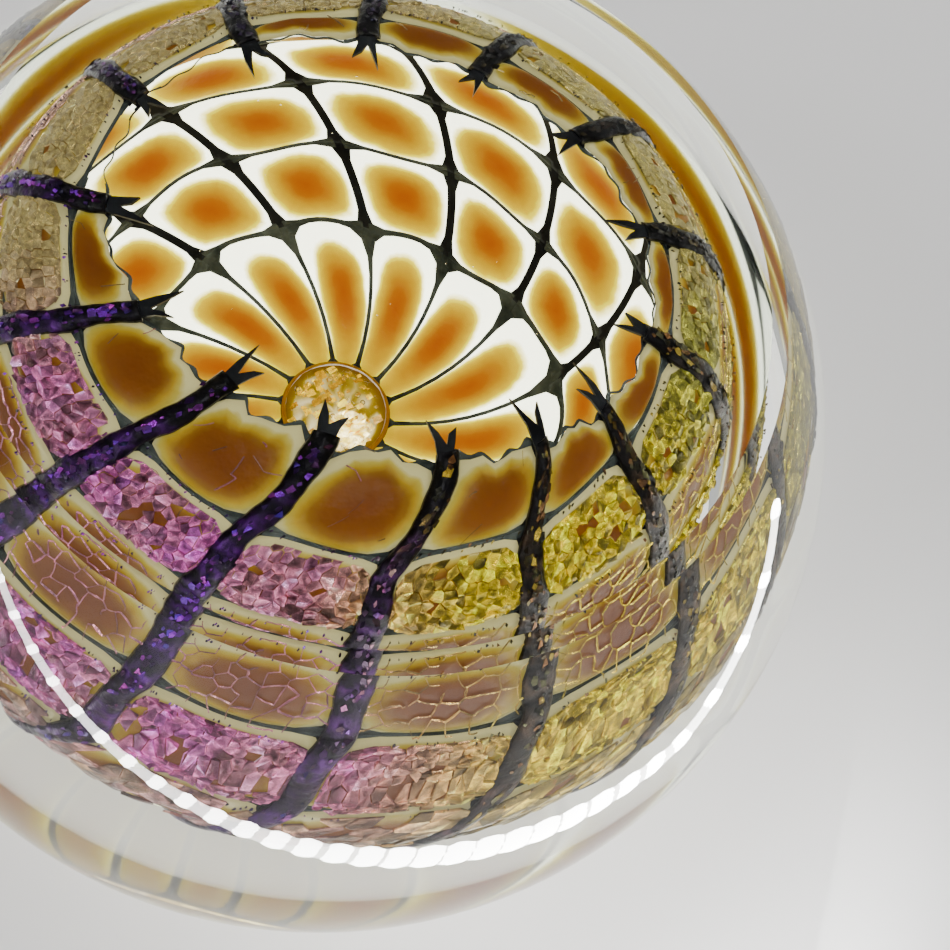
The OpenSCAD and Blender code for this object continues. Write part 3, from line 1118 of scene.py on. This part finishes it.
def lamps():
    """A chain of lamps round the front of the object. It shows only as a reflection in the side."""
    beads, tube = Soup(), Soup()
    path = lamp_path()
    widths = [0.3 + 0.7 * bump(n / (LAMP_COUNT - 1), 0.62, 0.34) for n in range(LAMP_COUNT)]
    for centre, wide in list(zip(path, widths))[1::2]:
        bead(beads, centre, 0.0046 * wide, 10, 6)
    for a, b, wide in zip(path, path[1:], widths):
        for f in (0, 0.25, 0.5, 0.75):
            bead(tube, a + (b - a) * f, 0.0036 * wide, 10, 6)
    bead_lamps = staged("lamp_beads", beads.verts, beads.faces, emitter("lamp_glow", LAMP_WHITE, 110))
    tube_lamp = staged("lamp_tube", tube.verts, tube.faces, emitter("lamp_haze", LAMP_WHITE, 30))
    for lamp in (bead_lamps, tube_lamp):
        lamp.visible_camera = False
        lamp.visible_diffuse = False
        lamp.visible_transmission = False
        lamp.visible_shadow = False


def stage():
    w = FLOOR_HALF
    corners = [(-w, -w, FLOOR_Z), (w, -w, FLOOR_Z), (w, w, FLOOR_Z), (-w, w, FLOOR_Z)]
    staged("floor", corners, [(0, 1, 2, 3)], plain("floor_paper", (0.66, 0.66, 0.665)))
    lamps()


def area(name, place_at, aim, size, power, colour):
    lamp = bpy.data.lights.new(name, "AREA")
    lamp.shape = "DISK"
    lamp.size = size
    lamp.energy = power
    lamp.color = colour
    obj = bpy.data.objects.new(name, lamp)
    obj.location = place_at
    obj.rotation_euler = (Vector(aim) - Vector(place_at)).to_track_quat("-Z", "Y").to_euler()
    bpy.context.scene.collection.objects.link(obj)
    return obj


def light():
    """Pale surroundings that turn dark overhead, which keeps the polished top clear, and three lamps."""
    world = bpy.data.worlds.new("studio")
    bpy.context.scene.world = world
    world.use_nodes = True
    tree = world.node_tree
    tree.nodes.clear()
    out = tree.nodes.new("ShaderNodeOutputWorld")
    coords = tree.nodes.new("ShaderNodeTexCoord")
    split = node(tree, "ShaderNodeSeparateXYZ", Vector=coords.outputs["Generated"])
    rise = maths(tree, "ADD", maths(tree, "MULTIPLY", split.outputs["Z"], 0.5), 0.5)
    sky = ramp(tree, rise, (
        (0.0, (0.62, 0.63, 0.66)),
        (0.5, (0.95, 0.95, 0.96)),
        (0.74, (1.0, 0.99, 0.97)),
        (0.86, (0.06, 0.06, 0.065)),
        (1.0, (0.04, 0.04, 0.045)),
    ))
    back = node(tree, "ShaderNodeBackground", Color=sky, Strength=0.75)
    tree.links.new(back.outputs[0], out.inputs["Surface"])
    key = area("key_window", (0.25, 0.45, 0.55), (0, 0, 0.04), 0.35, 4, (1.0, 0.98, 0.95))
    key.visible_glossy = False
    area("front_fill", (-0.35, -0.35, 0.45), (0, 0, 0.05), 0.1, 0.8, (0.96, 0.98, 1.0))
    top = area("top_soft", (0.05, -0.05, 0.7), (0, 0, 0.05), 0.25, 2, (1.0, 1.0, 1.0))
    top.visible_glossy = False


def camera():
    data = bpy.data.cameras.new("view")
    data.sensor_width = 36
    data.lens = LENS
    obj = bpy.data.objects.new("view", data)
    bpy.context.scene.collection.objects.link(obj)
    centre = Vector((0, 0, BODY_Z * MM))
    back = Vector((0, -cos(ELEVATION), sin(ELEVATION)))
    obj.location = centre + back * DISTANCE
    turned_camera = (-back).to_track_quat("-Z", "Y") @ Quaternion((0, 0, 1), ROLL)
    # The object sits left of and above the middle of the picture.
    fix = Vector(AIM).normalized().rotation_difference(Vector((0, 0, -1)))
    obj.rotation_mode = "QUATERNION"
    obj.rotation_quaternion = turned_camera @ fix
    bpy.context.scene.camera = obj


rng = random.Random(11)
clear_body()
made = cells()
nets()
front_ribs()
for row in range(FILM_FROM, ROWS + 1):
    film_row(rng, row, made)
sparkles(rng)
torn_tips(rng)
boss(rng)
bubbles(rng)
stage()
light()
camera()
